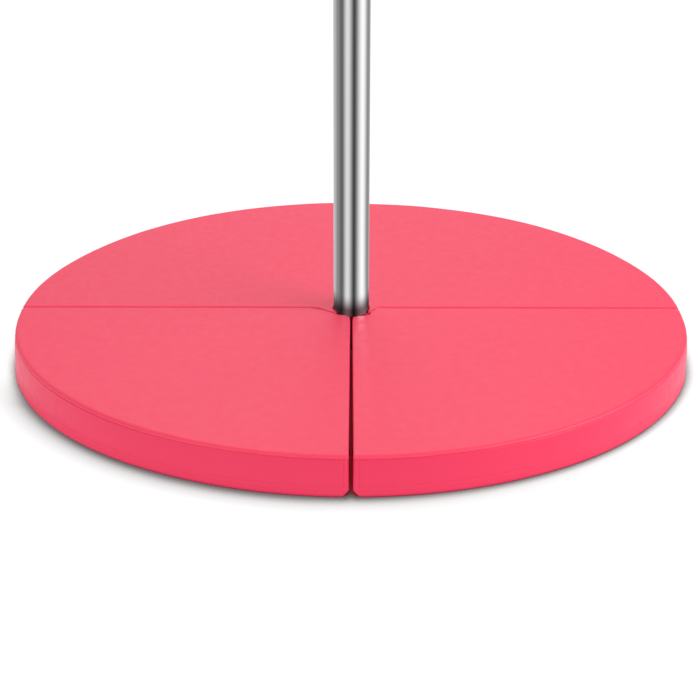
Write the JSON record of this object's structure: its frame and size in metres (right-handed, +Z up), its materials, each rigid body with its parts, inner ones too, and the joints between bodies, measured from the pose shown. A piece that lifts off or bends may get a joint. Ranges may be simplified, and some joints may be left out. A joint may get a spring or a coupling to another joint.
{
  "type": "folding pole mat with pole",
  "caption": "Round folding crash mat in hinged quarter sections, slit at the front, around a polished floor-to-ceiling tube pole.",
  "frame": {"origin": "on the floor at the pole's axis, under the middle of the mat", "axes": "+Z up along the pole, +X to the right, -Y towards the open slit"},
  "size_m": [1.2, 1.2, 2.25],
  "materials": {
    "cover_top": "satin",
    "cover_side": "satin",
    "foam": "matte",
    "zip_tape": "matte",
    "zip_metal": "polished",
    "seam_fabric": "matte",
    "hook_loop": "matte",
    "rubber_pad": "matte",
    "plug_plastic": "matte",
    "pole_steel": "polished",
    "inner_steel": "satin",
    "screw_steel": "satin",
    "plate_paint": "satin"
  },
  "bodies": {
    "front_left": {"fl_foam": "foam", "fl_top_cover": "cover_top", "fl_side_band": "cover_side", "fl_bottom_cover": "cover_side", "fl_zip_chain": "zip_tape", "left_hinge_seam": "seam_fabric", "hook_strip": "hook_loop"},
    "back_left": {"bl_foam": "foam", "bl_top_cover": "cover_top", "bl_side_band": "cover_side", "bl_bottom_cover": "cover_side", "bl_zip_chain": "zip_tape", "rear_hinge_seam": "seam_fabric"},
    "back_right": {"br_foam": "foam", "br_top_cover": "cover_top", "br_side_band": "cover_side", "br_bottom_cover": "cover_side", "br_zip_chain": "zip_tape", "right_hinge_seam": "seam_fabric"},
    "front_right": {"fr_foam": "foam", "fr_top_cover": "cover_top", "fr_side_band": "cover_side", "fr_bottom_cover": "cover_side", "fr_zip_chain": "zip_tape", "loop_strip": "hook_loop"},
    "pole": {"pole_foot_pad": "rubber_pad", "pole_foot_plug": "plug_plastic", "pole_lower_tube": "pole_steel", "pole_sleeve": "inner_steel", "pole_upper_tube": "pole_steel", "pole_set_screws": "screw_steel", "jack_socket": "plug_plastic"},
    "jack_nut": {"jack_collar": "pole_steel"},
    "jack_top": {"jack_screw": "inner_steel", "ceiling_plate": "plate_paint", "ceiling_pad": "rubber_pad"},
    "front_left_zip": {"fl_zip_slider": "zip_metal"},
    "back_left_zip": {"bl_zip_slider": "zip_metal"},
    "back_right_zip": {"br_zip_slider": "zip_metal"},
    "front_right_zip": {"fr_zip_slider": "zip_metal"}
  },
  "joints": [
    {"name": "half_fold", "type": "hinge", "parent": "front_left", "child": "back_left", "pos_m": [0, 0, 0.0703], "axis": [1, 0, 0], "range_deg": [0, 180]},
    {"name": "back_fold", "type": "hinge", "parent": "back_left", "child": "back_right", "pos_m": [0, 0, -0.0003], "axis": [0, 1, 0], "range_deg": [0, 180]},
    {"name": "right_fold", "type": "hinge", "parent": "back_right", "child": "front_right", "pos_m": [0, 0, 0.0703], "axis": [-1, 0, 0], "range_deg": [0, 180]},
    {"name": "pole_lift", "type": "slide", "parent": "front_left", "child": "pole", "axis": [0, 0, 1], "range_m": [0, 1.42]},
    {"name": "jack_rise", "type": "slide", "parent": "pole", "child": "jack_top", "axis": [0, 0, 1], "range_m": [0, 0.04]},
    {"name": "jack_turn", "type": "hinge", "parent": "pole", "child": "jack_nut", "pos_m": [0, 0, 2.13], "axis": [0, 0, 1], "range_deg": [0, 3605]},
    {"name": "front_left_zip_slide", "type": "slide", "parent": "front_left", "child": "front_left_zip", "axis": [0, 1, 0], "range_m": [0, 0.37]},
    {"name": "back_left_zip_slide", "type": "slide", "parent": "back_left", "child": "back_left_zip", "axis": [0, -1, 0], "range_m": [0, 0.37]},
    {"name": "back_right_zip_slide", "type": "slide", "parent": "back_right", "child": "back_right_zip", "axis": [0, -1, 0], "range_m": [0, 0.37]},
    {"name": "front_right_zip_slide", "type": "slide", "parent": "front_right", "child": "front_right_zip", "axis": [0, 1, 0], "range_m": [0, 0.37]}
  ],
  "couplings": [
    {"joint": "right_fold", "follows": "half_fold", "ratio": 1},
    {"joint": "pole_lift", "follows": "half_fold", "m_per_rad": 0.45},
    {"joint": "jack_turn", "follows": "jack_rise", "rad_per_m": 1570.8}
  ]
}
